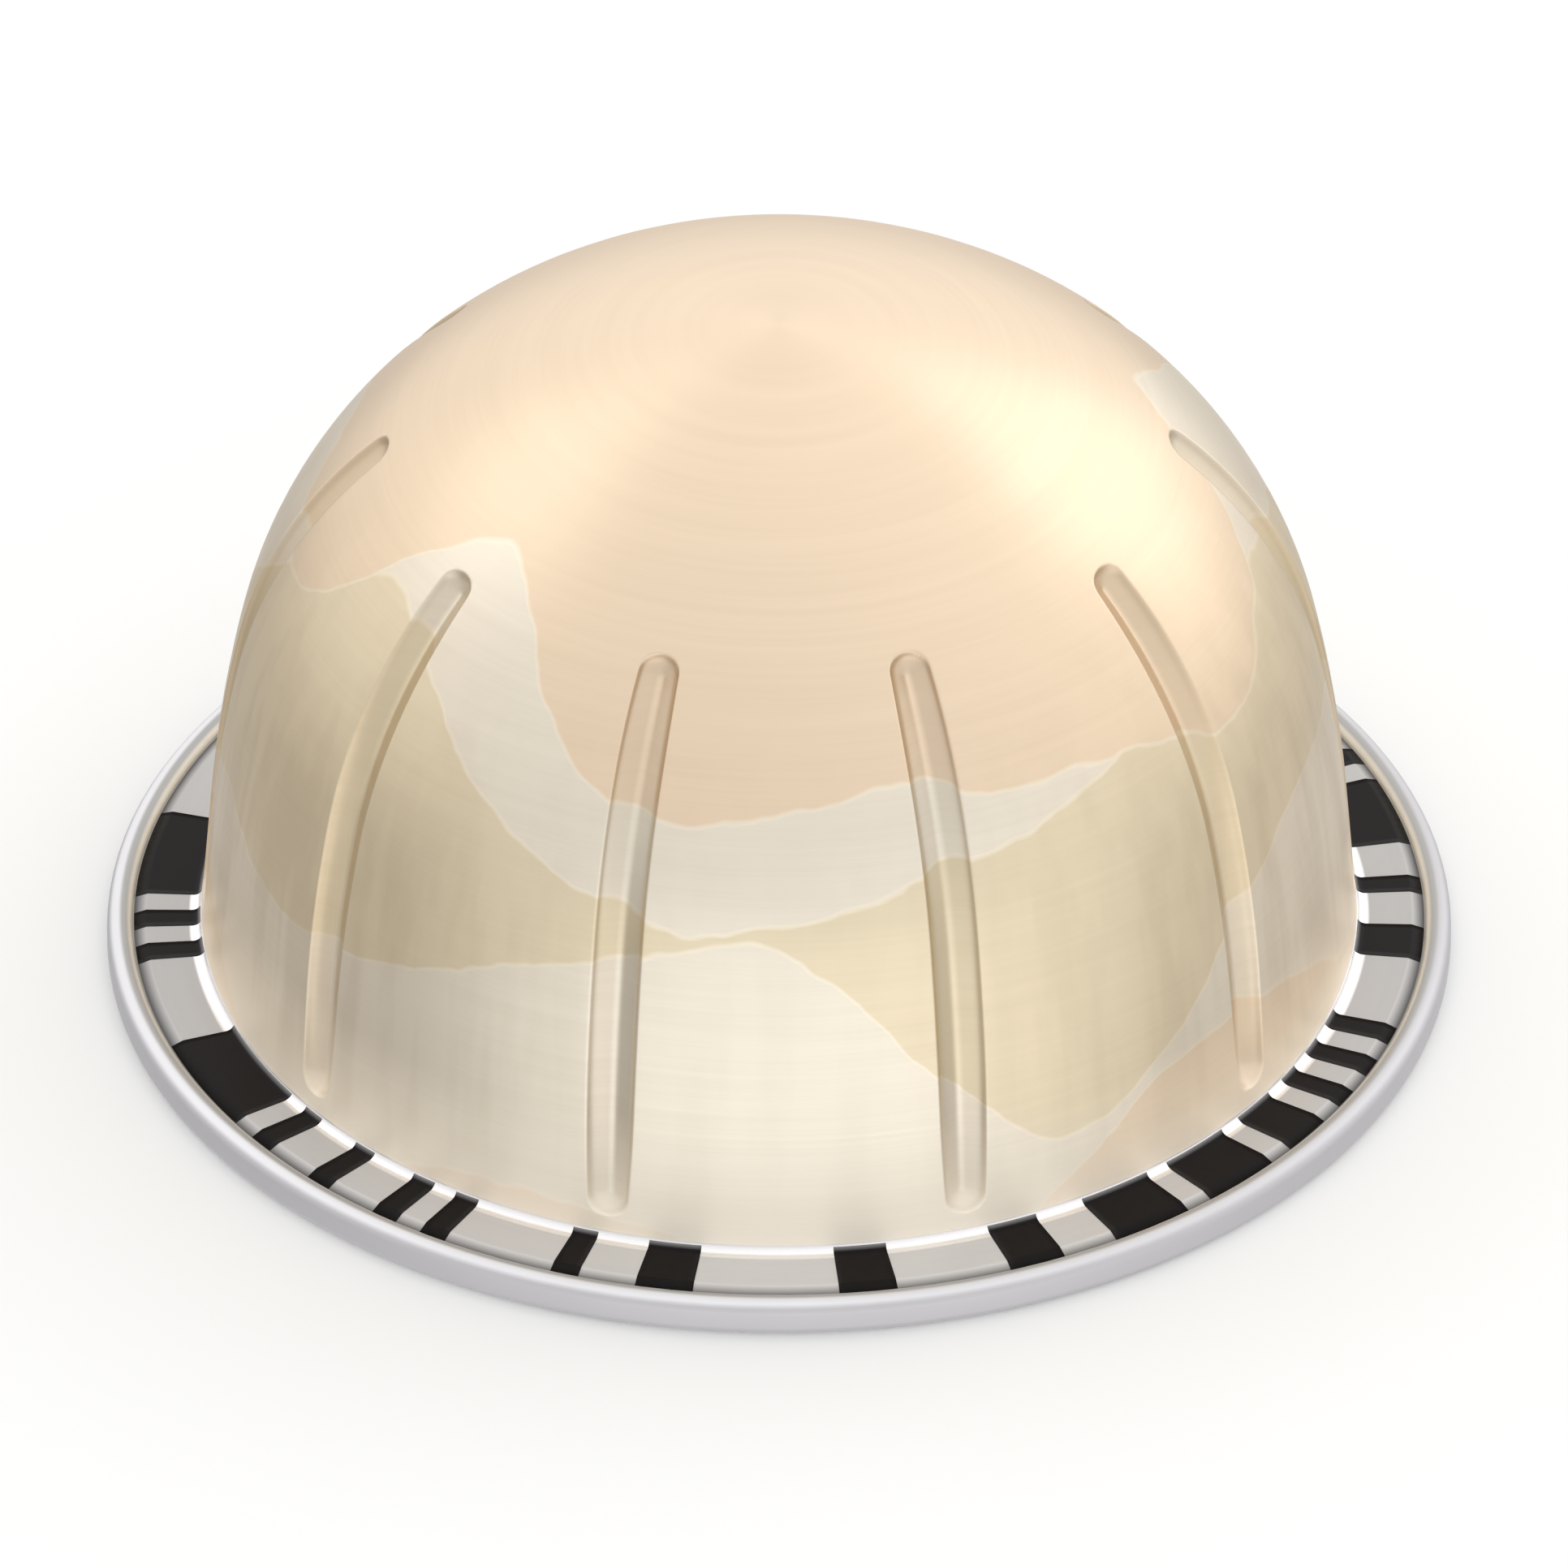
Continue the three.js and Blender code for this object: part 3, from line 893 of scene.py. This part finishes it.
# azimuth from the front, elevation, distance, width, height, power, and whether the metal mirrors it
softboxes = {
    "left": (-122, 43, 0.50, 0.34, 0.26, 0.13, True),
    "right": (127, 30, 0.50, 0.34, 0.34, 0.24, True),
    "front": (4, 12, 0.50, 0.46, 0.16, 0.36, False),
}
softboxTarget = (0, 0, 15 * mm)


def aim(thing, azimuth, elevation, distance, target):
    # stands the thing off its target and turns it to face it
    turn, rise = math.radians(azimuth), math.radians(elevation)
    away = np.array([math.sin(turn) * math.cos(rise), -math.cos(turn) * math.cos(rise), math.sin(rise)])
    thing.location = np.array(target) + distance * away
    thing.rotation_euler = (math.pi / 2 - rise, 0, turn)


def makeLights():
    for name, (azimuth, elevation, distance, width, height, power, mirrored) in softboxes.items():
        data = bpy.data.lights.new("softbox_" + name, "AREA")
        data.shape = "RECTANGLE"
        data.size, data.size_y = width, height
        data.energy = power
        lamp = bpy.data.objects.new("softbox_" + name, data)
        lamp.visible_camera = False
        lamp.visible_glossy = mirrored
        aim(lamp, azimuth, elevation, distance, softboxTarget)
        bpy.context.scene.collection.objects.link(lamp)


view = {
    "azimuth": -0.8,
    "elevation": 35.35,
    "distance": 2.0,
    "lens": 1030.6,
    "farthest": 20,
    "target": (0.22 * mm, 0, 8.62 * mm),
}


def makeCamera():
    data = bpy.data.cameras.new("camera")
    data.lens = view["lens"]
    data.clip_end = view["farthest"]
    camera = bpy.data.objects.new("camera", data)
    aim(camera, view["azimuth"], view["elevation"], view["distance"], view["target"])
    bpy.context.scene.collection.objects.link(camera)
    bpy.context.scene.camera = camera


def dress(piece, slot, *nodes):
    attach(piece, "root")
    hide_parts(*nodes)


makeCamera()
makeFloor()
makeRoom()
makeLights()
print("camera, floor, room and lamps done")
bars = [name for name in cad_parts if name.startswith("code_bar_")]
dress(makeShell(lacqueredFinish(), bareFinish()), "lacquered_aluminium", "capsule_body")
dress(makePrint(inkFinish()), "black_ink", *bars)
dress(makeLid(foilFinish()), "lid_foil", "foil_lid")
print("pieces done")
